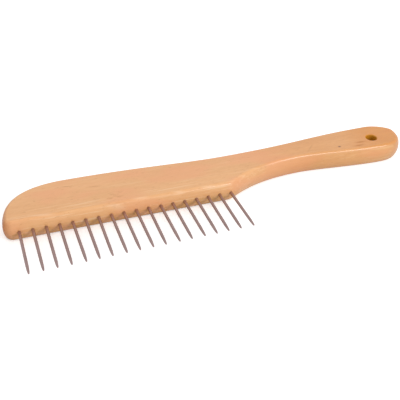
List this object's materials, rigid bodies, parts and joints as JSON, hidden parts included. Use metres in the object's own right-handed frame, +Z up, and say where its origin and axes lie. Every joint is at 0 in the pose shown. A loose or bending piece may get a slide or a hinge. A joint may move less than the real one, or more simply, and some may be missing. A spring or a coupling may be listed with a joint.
{
  "type": "sweater comb",
  "caption": "Flat one-piece wooden comb, head and waisted handle in one, with a hanging hole near the butt and a row of round pointed steel pins along the tooth edge.",
  "frame": {"origin": "under the middle of the whole comb as it lies flat on its broad face", "axes": "+X runs from the toe to the butt of the handle, the pins point to -Y and the back faces +Y, and +Z is up, square to the broad faces"},
  "size_m": [0.2296, 0.061, 0.0115],
  "materials": {
    "wood": "pale close-grained hardwood, sanded smooth, clear satin lacquer",
    "steel": "drawn steel wire, satin, ground to blunt points"
  },
  "bodies": {
    "root": {"wooden_body": "wood", "pin_01": "steel", "pin_02": "steel", "pin_03": "steel", "pin_04": "steel", "pin_05": "steel", "pin_06": "steel", "pin_07": "steel", "pin_08": "steel", "pin_09": "steel", "pin_10": "steel", "pin_11": "steel", "pin_12": "steel", "pin_13": "steel", "pin_14": "steel", "pin_15": "steel", "pin_16": "steel", "pin_17": "steel", "pin_18": "steel"}
  },
  "joints": []
}
